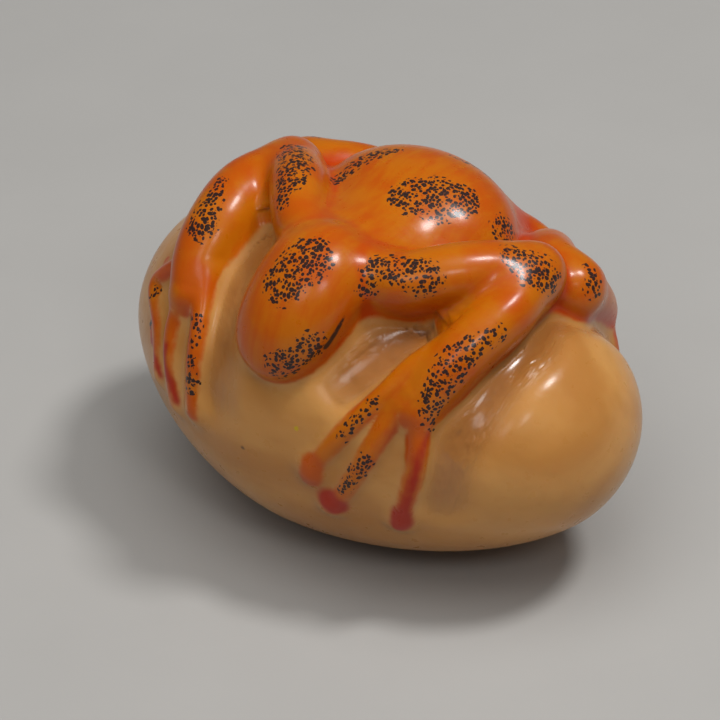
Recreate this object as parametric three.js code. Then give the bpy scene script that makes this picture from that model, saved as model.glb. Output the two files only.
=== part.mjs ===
// A frog hugging a tagua nut, both carved out of the one nut.
// Millimetres, +Z up. X runs along the nut, and the frog lies across it with its head over the -Y side.
// The origin is the middle of the small flat under the nut, which it stands on.

import * as THREE from 'three';
import * as BufferGeometryUtils from 'three/addons/utils/BufferGeometryUtils.js';

// Driving dimensions of the nut
const NUT_LENGTH = 50;
const NUT_WIDTH = 34.6;
const NUT_HEIGHT = 31.2;
const TIP_ROUNDING = 4.4; // a quarter of it is missing from the egg at each tip
const BELLY_OFFSET = -2; // the thickest part lies a little to the left of the middle
const RING_POWER = 1.77; // 2 would be an ellipsoid, less makes the ends leaner
const REST_DEPTH = 0.8; // height of the sliver missing where the nut stands

// Driving dimensions of the frog
const FROG_REACH = 14.2; // from the frog's middle to an elbow
const LIMB_THICKNESS = 5.6;
const FINGER_THICKNESS = 1.3;
const SEAT_SHARE = 0.8; // of a limb's width, for the run of it that sits in the nut
const PAD = { width: 2.6, sunk: 0.85 };
const BODY = { width: 19.2, length: 15.2, height: 12.4, across: 0, round: -18, lift: -2.35, nod: 0 };
const RUMP = { width: 13.2, length: 10.4, height: 10, across: 0, round: -45, lift: -2.8, nod: 0 };
const NECK = { width: 13.4, length: 14, height: 9.4, across: 0, round: 16, lift: -2.1, nod: 0 };
const SKULL = { width: 9.8, length: 11.5, height: 8.6, across: -0.1, round: 37, lift: 1.4, nod: 32 };
const SNOUT = { width: 8.2, length: 8.4, height: 6.4, across: -0.8, round: 53, lift: 0.9, nod: 50 };

// Driving dimensions of the hollows cut into the nut beside the frog
const HOLLOW_WIDTH = 4.4;

// Softness of the carver's cuts: the width over which two forms run into each other
const BLEND = {
  hollow: 2.5,
  back: 2.5,
  nape: 1.2,
  face: 3,
  seat: 1.8,
  knee: 0.8,
  toe: 1,
  armpit: 1.4,
  skin: 1.4,
};

// How the skin is drawn
const BENDS_PER_STOP = 3;
const FACE_DETAIL = 20; // the ball that the skin is stretched from has 20 x (FACE_DETAIL + 1)^2 faces
const FACE_LEAN = 0.3; // how far its corners are gathered towards the frog
const FACE_GATHER = 0.82; // and towards the middle of the nut's length
const MOST_STEPS = 100;
const CAUTION = 0.7;
const NEAR = 0.01;
const SETTLING_ROUNDS = 40;
const LAST_ROUNDS = 5; // in which the corners no longer slide
const LONGEST_STEP = 0.4;
const SLIDE = 0.5;
const FLAT_SNAP = 0.02;
const PROBE = 0.05; // how far apart two distances are taken to find which way they grow
const FAR = 6; // from here on the distance to the ball around a limb is near enough
const RAY_SHARE = 0.95; // the skin of the egg is a little nearer than where the ray from its centre meets it
const TINY = 0.000001;

const centre = new THREE.Vector3(BELLY_OFFSET, 0, NUT_HEIGHT / 2 - REST_DEPTH);
const eggEnd = NUT_LENGTH / 2 + TIP_ROUNDING / 4;
const rightHalf = eggEnd - BELLY_OFFSET;
const leftHalf = eggEnd + BELLY_OFFSET;

// Distances: negative inside a form, positive outside

function softMin(a, b, width) {
  const h = Math.max(width - Math.abs(a - b), 0) / width;
  return Math.min(a, b) - (h * h * width) / 4;
}

function softMax(a, b, width) {
  return -softMin(-a, -b, width);
}

// 1 on the skin of the uncut egg, less inside it, for a place measured from the egg's centre.
function eggValue(x, y, z) {
  const along = Math.abs(x / (x > 0 ? rightHalf : leftHalf));
  const across = Math.hypot(y / (NUT_WIDTH / 2), z / (NUT_HEIGHT / 2));
  return (along ** RING_POWER + across ** RING_POWER) ** (1 / RING_POWER);
}

function eggDistance(p) {
  const x = p.x - centre.x;
  const y = p.y - centre.y;
  const z = p.z - centre.z;
  const far = Math.hypot(x, y, z);
  const egg = RAY_SHARE * far * (1 - 1 / Math.max(eggValue(x, y, z), TINY));
  return softMax(egg, Math.abs(p.x) - eggEnd, TIP_ROUNDING);
}

// A place on the egg: `across` is its X, `round` its turn from the top towards the frog's head, in
// degrees, and `lift` how far it stands off the skin.
function onNut(across, round, lift) {
  const x = across - centre.x;
  const half = x > 0 ? rightHalf : leftHalf;
  const ring = Math.max(1 - Math.abs(x / half) ** RING_POWER, TINY) ** (1 / RING_POWER);
  const turn = THREE.MathUtils.degToRad(round);
  const dy = -Math.sin(turn);
  const dz = Math.cos(turn);
  const reach = ring / Math.hypot(dy / (NUT_WIDTH / 2), dz / (NUT_HEIGHT / 2));
  const y = dy * reach;
  const z = dz * reach;
  const normal = new THREE.Vector3(
    eggValue(x + PROBE, y, z) - eggValue(x - PROBE, y, z),
    eggValue(x, y + PROBE, z) - eggValue(x, y - PROBE, z),
    eggValue(x, y, z + PROBE) - eggValue(x, y, z - PROBE),
  ).normalize();
  return new THREE.Vector3(x, y, z).add(centre).addScaledVector(normal, lift);
}

// A stretch of a limb from one end to the next: a curve that leaves and arrives along the ends' leads. The
// curve is from + share (first + share (second + share third)), with share growing from 0 to 1.
function stretch(one, other) {
  const way = other.place.clone().sub(one.place);
  const first = one.lead.clone().multiplyScalar(way.length());
  const last = other.lead.clone().multiplyScalar(way.length());
  return {
    from: one.place,
    to: other.place,
    leave: one.lead,
    arrive: other.lead,
    first,
    second: way.clone().multiplyScalar(3).addScaledVector(first, -2).sub(last),
    third: way.clone().multiplyScalar(-2).add(first).add(last),
    start: one.radius,
    grow: other.radius - one.radius,
    taper: Math.abs(other.radius - one.radius) / way.length(),
  };
}

// A round form along a smooth line over the nut. Each stop is [across, round, lift, radius], with across in
// shares of FROG_REACH and lift and radius in shares of the thickness given.
function limb(stops, thickness) {
  const line = smoothLine(
    stops.map(([across, round, lift]) => new THREE.Vector3(across * FROG_REACH, round, lift * thickness)),
  );
  const width = smoothLine(stops.map(([, , , radius]) => new THREE.Vector3(radius * thickness, 0, 0)));
  const bends = (stops.length - 1) * BENDS_PER_STOP;
  const ends = [];
  for (let i = 0; i <= bends; i++) {
    const { x, y, z } = line.getPoint(i / bends);
    ends.push({ place: onNut(x, y, z), radius: width.getPoint(i / bends).x });
  }
  const ways = ends.slice(1).map(({ place }, i) => place.clone().sub(ends[i].place).normalize());
  ends.forEach((end, i) => {
    const before = ways[Math.max(i - 1, 0)];
    const after = ways[Math.min(i, ways.length - 1)];
    end.lead = before.clone().add(after).normalize();
  });
  const around = new THREE.Sphere().setFromPoints(ends.map(({ place }) => place));
  around.radius += thickness;
  const stretches = ends.slice(1).map((end, i) => stretch(ends[i], end));
  return { stretches, around, taper: Math.max(...stretches.map(({ taper }) => taper)) };
}

function smoothLine(points) {
  return new THREE.CatmullRomCurve3(points, false, 'catmullrom');
}

function limbDistance({ stretches, around, taper }, p) {
  let nearest = around.distanceToPoint(p);
  if (nearest > FAR) {
    return nearest;
  }
  nearest = Infinity;
  stretches.forEach(({ from, to, leave, arrive, first, second, third, start, grow }, i) => {
    const x = p.x - from.x;
    const y = p.y - from.y;
    const z = p.z - from.z;
    const past = x * leave.x + y * leave.y + z * leave.z;
    const ahead = (to.x - p.x) * arrive.x + (to.y - p.y) * arrive.y + (to.z - p.z) * arrive.z;
    const share = Math.min(Math.max(past / Math.max(past + ahead, TINY), 0), 1);
    const dx = x - share * (first.x + share * (second.x + share * third.x));
    const dy = y - share * (first.y + share * (second.y + share * third.y));
    const dz = z - share * (first.z + share * (second.z + share * third.z));
    let gap = Math.sqrt(dx * dx + dy * dy + dz * dz) - (start + grow * share);
    // A thicker neighbour does not reach into this stretch, so there are no rings where a limb thins.
    if (i > 0 && past < 0) {
      gap -= taper * past;
    }
    if (i < stretches.length - 1 && ahead < 0) {
      gap -= taper * ahead;
    }
    nearest = Math.min(nearest, gap);
  });
  return nearest;
}

// The middle of the pad at the tip of a finger that ends at this stop.
function padPlace(across, round) {
  return onNut(across * FROG_REACH, round, -PAD.sunk);
}

// An egg-shaped lump along the middle line of the frog, its length along Y, nodded forward by `nod` degrees.
function lump({ width, length, height, across, round, lift, nod }) {
  const at = onNut(across, round, lift);
  const half = new THREE.Vector3(width / 2, length / 2, height / 2);
  const half2 = half.clone().multiply(half);
  const turn = new THREE.Quaternion();
  turn.setFromAxisAngle(new THREE.Vector3(1, 0, 0), THREE.MathUtils.degToRad(-nod));
  const local = new THREE.Vector3();
  return (p) => {
    local.copy(p).sub(at).applyQuaternion(turn);
    const k0 = Math.hypot(local.x / half.x, local.y / half.y, local.z / half.z);
    const k1 = Math.hypot(local.x / half2.x, local.y / half2.y, local.z / half2.z);
    return (k0 * (k0 - 1)) / Math.max(k1, TINY);
  };
}

// The frog's limbs, as stops of limb(). The frog's left is +X.

const leftArm = {
  upper: [
    [0.25, 27, 0.25, 0.42],
    [0.45, 23.5, 0.26, 0.46],
    [0.62, 15, 0.34, 0.48],
    [0.78, 3.5, 0.38, 0.47],
    [0.93, -9.5, 0.36, 0.43],
  ],
  fore: [
    [0.93, -9.5, 0.36, 0.43],
    [1, 12, 0.32, 0.42],
    [0.95, 34, 0.2, 0.4],
    [0.9, 48, 0.06, 0.36],
    [0.86, 59, -0.02, 0.28],
  ],
  fingers: [
    [
      [0.88, 34, 0.2, 0.9],
      [0.77, 45, 0.25, 0.9],
      [0.67, 58, 0.25, 0.72],
      [0.55, 70, 0.18, 0.56],
      [0.39, 84, 0, 0.48],
      [0.32, 91, 0, 0.4],
    ],
    [
      [0.82, 56, 0.3, 0.75],
      [0.72, 70, 0.2, 0.6],
      [0.64, 83, 0.12, 0.55],
      [0.5, 98, 0, 0.48],
      [0.43, 103, 0, 0.4],
    ],
    [[0.89, 60, 0.3, 0.7], [0.94, 80, 0.12, 0.55], [0.87, 101, 0, 0.48], [0.84, 106, 0, 0.4]],
  ],
};
const rightArm = {
  upper: [
    [-0.24, 24, 0.27, 0.41],
    [-0.37, 19, 0.3, 0.43],
    [-0.56, 7.5, 0.3, 0.46],
    [-0.86, -9, 0.2, 0.44],
  ],
  fore: [
    [-0.86, -9, 0.2, 0.44],
    [-0.95, 9, 0.2, 0.52],
    [-0.93, 28, 0.16, 0.52],
    [-0.92, 42, 0.1, 0.44],
    [-0.88, 54, 0.05, 0.32],
  ],
  fingers: [
    [[-0.8, 46, 0.3, 0.7], [-0.7, 62, 0.2, 0.55], [-0.64, 80, 0, 0.48], [-0.61, 89, 0, 0.4]],
    [[-0.88, 50, 0.3, 0.8], [-0.92, 68, 0.2, 0.6], [-0.86, 84, 0, 0.5], [-0.8, 92, 0, 0.4]],
    [[-1, 42, 0.3, 0.7], [-1.28, 58, 0.2, 0.5], [-1.1, 72, 0, 0.48], [-1, 88, 0, 0.4]],
  ],
};
const leftLeg = {
  upper: [
    [0.24, -48, -0.45, 0.55],
    [0.34, -60, -0.2, 0.52],
    [0.56, -62, -0.14, 0.46],
    [0.72, -43, 0, 0.42],
    [0.88, -33, 0.14, 0.41],
    [1.03, -33, 0.14, 0.43],
  ],
  fore: [
    [1.03, -33, 0.14, 0.43],
    [1, -54, 0, 0.34],
    [0.94, -70, 0, 0.32],
  ],
  fingers: [
    [[0.94, -70, 0.1, 0.75], [0.7, -84, 0.05, 0.55], [0.54, -95, 0, 0.4]],
    [[0.94, -70, 0.1, 0.75], [0.88, -89, 0.05, 0.55], [0.78, -102, 0, 0.4]],
    [[0.94, -70, 0.1, 0.75], [1.07, -85, 0.05, 0.55], [1.1, -95, 0, 0.4]],
  ],
};
const mirrored = (stops) => stops.map(([across, round, lift, radius]) => [-across, round, lift / 2, radius]);
const rightLeg = {
  upper: mirrored(leftLeg.upper),
  fore: mirrored(leftLeg.fore),
  fingers: leftLeg.fingers.map(mirrored),
};

// The hollows cut into the nut beside the limbs, as stops too.

const besideLeftArm = [
  [1.16, -24, 0.42, 0.5],
  [1.12, -8, 0.3, 0.52],
  [1.18, 10, 0.25, 0.48],
  [1.17, 40, 0.25, 0.45],
  [1.14, 62, 0.3, 0.45],
  [1.1, 94, 0.39, 0.45],
];
const besideLeftShin = [
  [1.18, -40, 0.4, 0.5],
  [1.22, -62, 0.3, 0.5],
  [1.28, -84, 0.36, 0.5],
];
const underLeftArm = [
  [0.66, 30, 0.28, 0.62],
  [0.56, 45, 0.36, 0.66],
  [0.44, 57, 0.46, 0.64],
];
const underRightArm = [
  [-0.66, 16, 0.4, 0.5],
  [-0.56, 46, 0.4, 0.55],
  [-0.45, 80, 0.5, 0.5],
];

// The narrower run of the same limb that seats it in the nut.
const seatOf = (stops) =>
  stops.map(([across, round, lift, radius]) => [across, round, Math.min(lift, 0), radius * SEAT_SHARE]);

const backLumps = [BODY, RUMP, NECK].map(lump);
const headLumps = [SKULL, SNOUT].map(lump);
const limbs = [leftArm, rightArm, leftLeg, rightLeg].map(({ upper, fore, fingers }) => ({
  upper: limb(upper, LIMB_THICKNESS),
  fore: limb(fore, LIMB_THICKNESS),
  seats: [upper, fore].map((stops) => limb(seatOf(stops), LIMB_THICKNESS)),
  fingers: fingers.map((stops) => limb(stops, FINGER_THICKNESS)),
  pads: fingers.map((stops) => padPlace(...stops.at(-1))),
}));
const hollows = [besideLeftArm, besideLeftShin, underLeftArm, underRightArm].map((stops) =>
  limb(stops, HOLLOW_WIDTH),
);

function carving(p) {
  let nut = eggDistance(p);
  for (const hollow of hollows) {
    nut = softMax(nut, -limbDistance(hollow, p), BLEND.hollow);
  }
  const back = backLumps.map((distance) => distance(p)).reduce((a, b) => softMin(a, b, BLEND.back));
  const head = headLumps.map((distance) => distance(p)).reduce((a, b) => softMin(a, b, BLEND.face));
  let frog = softMin(back, head, BLEND.nape);
  for (const { upper, fore, seats, fingers, pads } of limbs) {
    let arm = softMin(limbDistance(upper, p), limbDistance(fore, p), BLEND.knee);
    for (const seat of seats) {
      arm = softMin(arm, limbDistance(seat, p), BLEND.seat);
    }
    for (const finger of fingers) {
      arm = softMin(arm, limbDistance(finger, p), BLEND.toe);
    }
    for (const pad of pads) {
      arm = softMin(arm, p.distanceTo(pad) - PAD.width / 2, BLEND.toe);
    }
    frog = softMin(frog, arm, BLEND.armpit);
  }
  return Math.max(softMin(nut, frog, BLEND.skin), -p.z);
}

// Which way is out of the carving at a place with this distance.
function outOf(p, distance) {
  const q = new THREE.Vector3();
  return new THREE.Vector3(
    carving(q.set(p.x + PROBE, p.y, p.z)) - distance,
    carving(q.set(p.x, p.y + PROBE, p.z)) - distance,
    carving(q.set(p.x, p.y, p.z + PROBE)) - distance,
  ).normalize();
}

function neighboursOf(skin) {
  const index = skin.getIndex().array;
  const neighbours = Array.from({ length: skin.getAttribute('position').count }, () => new Set());
  for (let i = 0; i < index.length; i += 3) {
    const [a, b, c] = index.subarray(i, i + 3);
    neighbours[a].add(b).add(c);
    neighbours[b].add(a).add(c);
    neighbours[c].add(a).add(b);
  }
  return neighbours.map((set) => [...set]);
}

// The outermost place of the carving along a direction from the nut's centre.
function skinAlong(direction) {
  const p = new THREE.Vector3();
  let reach = NUT_LENGTH;
  for (let i = 0; i < MOST_STEPS; i++) {
    const gap = carving(p.copy(centre).addScaledVector(direction, reach));
    if (gap < NEAR) {
      break;
    }
    reach -= gap * CAUTION;
  }
  return p;
}

// A ball drawn tight over the carving, whose corners then settle: each one slides along the skin towards
// the middle of its neighbours, down under the limbs too.
function carvedSkin() {
  const ballSkin = new THREE.IcosahedronGeometry(1, FACE_DETAIL);
  ballSkin.deleteAttribute('normal');
  ballSkin.deleteAttribute('uv');
  const skin = BufferGeometryUtils.mergeVertices(ballSkin);
  const corners = skin.getAttribute('position');
  const neighbours = neighboursOf(skin);
  const places = neighbours.map((_, i) => {
    const p = new THREE.Vector3().fromBufferAttribute(corners, i);
    p.multiply(new THREE.Vector3(FACE_GATHER, 1, 1)).normalize();
    p.z += FACE_LEAN;
    return skinAlong(p.multiply(new THREE.Vector3(NUT_LENGTH, NUT_WIDTH, NUT_HEIGHT)).normalize());
  });
  const middle = new THREE.Vector3();
  for (let round = 0; round < SETTLING_ROUNDS; round++) {
    places.forEach((p, i) => {
      const distance = carving(p);
      const outward = outOf(p, distance);
      middle.set(0, 0, 0);
      neighbours[i].forEach((n) => middle.add(places[n]));
      middle.divideScalar(neighbours[i].length).sub(p);
      middle.addScaledVector(outward, -middle.dot(outward));
      const step = THREE.MathUtils.clamp(distance, -LONGEST_STEP, LONGEST_STEP);
      p.addScaledVector(outward, -step);
      p.addScaledVector(middle, round < SETTLING_ROUNDS - LAST_ROUNDS ? SLIDE : 0);
    });
  }
  places.forEach(({ x, y, z }, i) => corners.setXYZ(i, x, y, z < FLAT_SNAP ? 0 : z));
  skin.computeVertexNormals();
  return skin;
}

const varnishedNut = new THREE.MeshStandardMaterial({ color: 0xc7954f, roughness: 0.25, metalness: 0 });
const frogOnNut = new THREE.Mesh(carvedSkin(), varnishedNut);
frogOnNut.name = 'frog_on_nut';

const group = new THREE.Group();
group.add(frogOnNut);

export default group;
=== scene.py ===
"""A frog hugging a tagua nut, carved out of the nut, stained, dotted with a pen and varnished.

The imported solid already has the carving's true form. Here its skin is divided finely and settled onto the
same forms, gets the gouge marks in the hollows, and then its stain, pen dots and varnish.
Laid out as an add-on and run as a script. Sizes in the tables are in millimetres, Blender's are in metres.
"""

import math

import bmesh
import bpy
import numpy as np
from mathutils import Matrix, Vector


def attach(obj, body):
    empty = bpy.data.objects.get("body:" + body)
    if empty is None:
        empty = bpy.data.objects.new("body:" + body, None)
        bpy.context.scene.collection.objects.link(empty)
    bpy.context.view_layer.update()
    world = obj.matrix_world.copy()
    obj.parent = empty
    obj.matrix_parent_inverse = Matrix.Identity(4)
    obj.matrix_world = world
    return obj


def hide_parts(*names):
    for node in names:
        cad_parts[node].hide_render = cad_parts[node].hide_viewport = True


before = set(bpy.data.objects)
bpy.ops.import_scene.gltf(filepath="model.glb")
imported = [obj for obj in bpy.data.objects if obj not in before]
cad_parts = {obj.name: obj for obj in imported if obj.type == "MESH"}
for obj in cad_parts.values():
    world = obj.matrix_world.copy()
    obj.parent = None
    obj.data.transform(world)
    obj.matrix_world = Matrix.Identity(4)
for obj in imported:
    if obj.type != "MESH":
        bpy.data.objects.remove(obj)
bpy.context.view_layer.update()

bl_info = {
    "name": "Carved nut with a frog",
    "version": (1, 0, 0),
    "blender": (4, 5, 0),
    "location": "View3D > Sidebar > Carved nut",
    "description": "Carves, stains, dots and varnishes a frog on a tagua nut",
    "category": "Object",
}

NUT_NODE = "frog_on_nut"
MM = 0.001

# The nut and the frog, as in the solid but for the knee's blend: folds too narrow for the solid's faces are
# filled a little more here. X runs along the nut, and the frog's head is over the -Y side.

NUT_LENGTH = 50.0
NUT_WIDTH = 34.6
NUT_HEIGHT = 31.2
TIP_ROUNDING = 4.4
BELLY_OFFSET = -2.0
RING_POWER = 1.77
REST_DEPTH = 0.8

FROG_REACH = 14.2
LIMB_THICKNESS = 5.6
FINGER_THICKNESS = 1.3
HOLLOW_WIDTH = 4.4
PAD_WIDTH = 2.6
PAD_SUNK = 0.85
BACK_LUMPS = [
    {"width": 19.2, "length": 15.2, "height": 12.4, "across": 0, "turn": -18, "lift": -2.35, "nod": 0},
    {"width": 13.2, "length": 10.4, "height": 10, "across": 0, "turn": -45, "lift": -2.8, "nod": 0},
    {"width": 13.4, "length": 14, "height": 9.4, "across": 0, "turn": 16, "lift": -2.1, "nod": 0},
]
HEAD_LUMPS = [
    {"width": 9.8, "length": 11.5, "height": 8.6, "across": -0.1, "turn": 37, "lift": 1.4, "nod": 32},
    {"width": 8.2, "length": 8.4, "height": 6.4, "across": -0.8, "turn": 53, "lift": 0.9, "nod": 50},
]
BLEND = {
    "hollow": 2.5,
    "back": 2.5,
    "nape": 1.2,
    "face": 3,
    "seat": 1.8,
    "knee": 1.6,
    "toe": 1,
    "armpit": 1.4,
    "skin": 1.4,
}
SEAT_SHARE = 0.8

# Stops of a limb: how far across the frog as a share of its reach, degrees round the nut from its top
# towards the head, lift off the nut and radius as shares of the limb's thickness.

LEFT_ARM = {
    "upper": [
        (0.25, 27, 0.25, 0.42), (0.45, 23.5, 0.26, 0.46), (0.62, 15, 0.34, 0.48),
        (0.78, 3.5, 0.38, 0.47), (0.93, -9.5, 0.36, 0.43),
    ],
    "fore": [
        (0.93, -9.5, 0.36, 0.43), (1, 12, 0.32, 0.42), (0.95, 34, 0.2, 0.4), (0.9, 48, 0.06, 0.36),
        (0.86, 59, -0.02, 0.28),
    ],
    "fingers": [
        [
            (0.88, 34, 0.2, 0.9),
            (0.77, 45, 0.25, 0.9),
            (0.67, 58, 0.25, 0.72),
            (0.55, 70, 0.18, 0.56),
            (0.39, 84, 0, 0.48),
            (0.32, 91, 0, 0.4),
        ],
        [
            (0.82, 56, 0.3, 0.75),
            (0.72, 70, 0.2, 0.6),
            (0.64, 83, 0.12, 0.55),
            (0.5, 98, 0, 0.48),
            (0.43, 103, 0, 0.4),
        ],
        [(0.89, 60, 0.3, 0.7), (0.94, 80, 0.12, 0.55), (0.87, 101, 0, 0.48), (0.84, 106, 0, 0.4)],
    ],
}
RIGHT_ARM = {
    "upper": [
        (-0.24, 24, 0.27, 0.41), (-0.37, 19, 0.3, 0.43), (-0.56, 7.5, 0.3, 0.46),
        (-0.86, -9, 0.2, 0.44),
    ],
    "fore": [
        (-0.86, -9, 0.2, 0.44), (-0.95, 9, 0.2, 0.52), (-0.93, 28, 0.16, 0.52),
        (-0.92, 42, 0.1, 0.44), (-0.88, 54, 0.05, 0.32),
    ],
    "fingers": [
        [(-0.8, 46, 0.3, 0.7), (-0.7, 62, 0.2, 0.55), (-0.64, 80, 0, 0.48), (-0.61, 89, 0, 0.4)],
        [(-0.88, 50, 0.3, 0.8), (-0.92, 68, 0.2, 0.6), (-0.86, 84, 0, 0.5), (-0.8, 92, 0, 0.4)],
        [(-1, 42, 0.3, 0.7), (-1.28, 58, 0.2, 0.5), (-1.1, 72, 0, 0.48), (-1, 88, 0, 0.4)],
    ],
}
LEFT_LEG = {
    "upper": [
        (0.24, -48, -0.45, 0.55), (0.34, -60, -0.2, 0.52), (0.56, -62, -0.14, 0.46),
        (0.72, -43, 0, 0.42), (0.88, -33, 0.14, 0.41), (1.03, -33, 0.14, 0.43),
    ],
    "fore": [
        (1.03, -33, 0.14, 0.43), (1, -54, 0, 0.34), (0.94, -70, 0, 0.32),
    ],
    "fingers": [
        [(0.94, -70, 0.1, 0.75), (0.7, -84, 0.05, 0.55), (0.54, -95, 0, 0.4)],
        [(0.94, -70, 0.1, 0.75), (0.88, -89, 0.05, 0.55), (0.78, -102, 0, 0.4)],
        [(0.94, -70, 0.1, 0.75), (1.07, -85, 0.05, 0.55), (1.1, -95, 0, 0.4)],
    ],
}
HOLLOWS = [
    [
        (1.16, -24, 0.42, 0.5), (1.12, -8, 0.3, 0.52), (1.18, 10, 0.25, 0.48),
        (1.17, 40, 0.25, 0.45), (1.14, 62, 0.3, 0.45), (1.1, 94, 0.39, 0.45),
    ],
    [(1.18, -40, 0.4, 0.5), (1.22, -62, 0.3, 0.5), (1.28, -84, 0.36, 0.5)],
    [(0.66, 30, 0.28, 0.62), (0.56, 45, 0.36, 0.66), (0.44, 57, 0.46, 0.64)],
    [(-0.66, 16, 0.4, 0.5), (-0.56, 46, 0.4, 0.55), (-0.45, 80, 0.5, 0.5)],
]

# Painted areas: lines over the surface, each stop (across in mm, degrees round the nut, half width in mm).

PEN_AREAS = {
    "crown": [(0, 41.1, 2.14), (0.8, 34.1, 2.14)],
    "jaw": [(1.4, 60.9, 1.34), (3.5, 52.6, 1.34)],
    "left shoulder": [(5.2, 33, 0.8), (5.3, 27.8, 1.07), (7.4, 24.6, 1.52), (9.3, 23.3, 1.61)],
    "left back": [(2, -2.2, 1.97), (4, -6.6, 2.59), (5.2, -10.8, 1.79)],
    "right back": [(-5.7, -1.5, 0.71), (-5.2, -9.4, 0.98), (-3.4, -15, 0.71)],
    "left flank": [(8.5, -18.7, 1.34), (8.7, -20.6, 1.16)],
    "back rim": [(0.9, -25.3, 0.45), (3.6, -30.6, 0.54)],
    "left elbow": [(13.6, 1.7, 1.07), (15.3, 0.5, 1.79), (16.3, -3, 1.61)],
    "left forearm": [
        (16.5, 24.3, 0.71), (15.4, 32.9, 1.16), (14.5, 44.2, 1.61), (14.1, 56.2, 1.07),
        (14.1, 62.7, 0.63),
    ],
    "left knee": [(16.8, -27.8, 0.71), (17.5, -28, 0.89)],
    "right shoulder": [(-10.9, -0.7, 1.25), (-8.2, 8.4, 1.61), (-6.8, 17.5, 1.07), (-6.2, 22.2, 0.63)],
    "right forearm": [(-14.4, 18.8, 0.54), (-13.7, 26.7, 1.07), (-13.2, 33.8, 1.43)],
    "first left finger": [(9.5, 60.6, 0.4), (7.4, 74.5, 0.49)],
    "second left finger": [(9.7, 80.5, 0.63), (7.9, 92.7, 0.58)],
    "first right finger": [(-10.1, 59.7, 0.54), (-8.9, 80, 0.63)],
    "third right finger": [(-17.5, 60.3, 0.45), (-17.5, 74.3, 0.36)],
    "right flank": [(-8, -26, 1.4), (-8.2, -21, 1.2)],
    "right knee": [(-15, -33, 1), (-15.2, -40, 1)],
    "left thigh": [(6.5, -66, 1.2), (9, -66, 1.2)],
    "right thigh": [(-6.5, -66, 1.2), (-9, -66, 1.2)],
}
INK_AREAS = {
    "jaw line": [(4.1, 51.3, 0.36), (4.7, 42.1, 0.13)],
    "right speck": [(24.5, 24.3, 0.12), (24.6, 20.4, 0.07)],
    "left speck": [(-2.6, 91.7, 0.14), (-2.4, 92.1, 0.11)],
}
STAIN_AREAS = {
    "first left finger": [
        (11.2, 46.4, 0.71), (10.3, 54.5, 0.71), (9.3, 61.9, 0.54), (8, 69.9, 0.54), (6.6, 78, 0.58),
        (5.6, 84.2, 0.63),
    ],
    "second left finger": [
        (11.2, 56.2, 0.98), (10.7, 62.9, 0.85), (10.3, 72.1, 0.8), (9.6, 80.9, 0.71),
        (8.3, 91, 0.63),
    ],
    "third left finger": [
        (13, 54.7, 0.98), (13.2, 61.7, 0.8), (13.6, 70.2, 0.76), (13.8, 79.3, 0.67),
        (13.4, 90.6, 0.58),
    ],
    "right palm": [(-11.6, 29.3, 1.07), (-11.1, 40.6, 1.07), (-10.6, 50.6, 0.89)],
    "first right finger": [(-10.6, 51.3, 0.98), (-10.1, 59, 0.71), (-8.9, 80, 0.63), (-8.7, 84, 0.54)],
    "second right finger": [
        (-12.3, 52.1, 0.89), (-12.5, 58.7, 0.58), (-13, 71.1, 0.49), (-13.1, 78.7, 0.49),
        (-11.7, 85.8, 0.45),
    ],
    "third right finger": [(-18.9, 47.8, 0.54), (-17.5, 59.9, 0.49), (-17.5, 74.3, 0.4), (-17, 81, 0.31)],
}
RED_AREAS = {
    "second left toe": [(6.3, 99.2, 1.21), (7, 100.6, 1.21)],
    "third left toe": [
        (14.1, 65.1, 0.18), (14, 73.4, 0.4), (13.9, 79.2, 0.49), (13.3, 92, 0.54),
        (12.8, 98.8, 0.63),
    ],
    "third left pad": [(12.6, 100.9, 1.07), (12.5, 104.3, 1.07)],
    "second right finger": [
        (-13.1, 73.3, 0.31), (-13.1, 79.4, 0.45), (-11.7, 85.8, 0.49), (-11, 89.5, 0.45),
    ],
    "third right finger": [(-17, 81, 0.27), (-14.8, 82.5, 0.36), (-13.8, 86.3, 0.36)],
}
ORANGE_AREAS = {
    "first left toe": [(5, 86.9, 1.12), (4.8, 92.7, 1.03)],
    "first right toe": [(-8.7, 84.6, 0.58), (-8.4, 89.5, 0.58)],
}
YELLOW_AREAS = {
    "stray dot": [(2.8, 78.2, 0.22), (2.8, 78.3, 0.22)],
}
AREAS = {
    "pen": PEN_AREAS,
    "ink": INK_AREAS,
    "brushed": STAIN_AREAS,
    "red": RED_AREAS,
    "orange": ORANGE_AREAS,
    "yellow": YELLOW_AREAS,
}

# How the skin is settled
RODS_PER_STOP = 3
CLEAR = 3.0  # as wide as the widest blend: what is further away than this takes no part
PROBE = 0.05
RAY_SHARE = 0.95
TINY = 0.000001
WELD = 0.000001  # metres
SETTLING_ROUNDS = 6
LAST_ROUNDS = 2
SLIDE = 0.5
LONGEST_STEP = 0.3
FLAT_SNAP = 0.02
MARCH_STEPS = 30
CAUTION = 0.8

# How far the brush strokes' charts reach past a hollow and past the frog, in millimetres, and the numbers
# that keep the patterns of two charts apart
HOLLOW_CHART = 1.2
FROG_CHART = 0.6
CHART_RIM = 0.1
HOLLOW_SEED = 10.0
ARM_SEED = 50.0
ARM_SEED_STEP = 20
PART_SEED_STEP = 3

# How far the stain and its red rim reach past the frog, in millimetres
STAIN_REACH = 0.35
FINGER_STAIN = 0.25
RIM_HEIGHT = 0.6
RIM_WIDTH = 0.9
BRUSHED_RIM = 0.7
DEEPEST_CUT = 3.0

# Where each field over the skin begins and is full, in millimetres
FIELD_RAMPS = {
    "brushed": (-0.3, 0.2),
    "crease": (0.1, 1.3),
    "legs": (0.2, 1.5),
    "hollow": (0.15, 1.0),
    "beside frog": (0.75, 1.4),
    "off frog": (0.0, 0.4),
    "sure": (0.05, 0.5),
}

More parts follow.
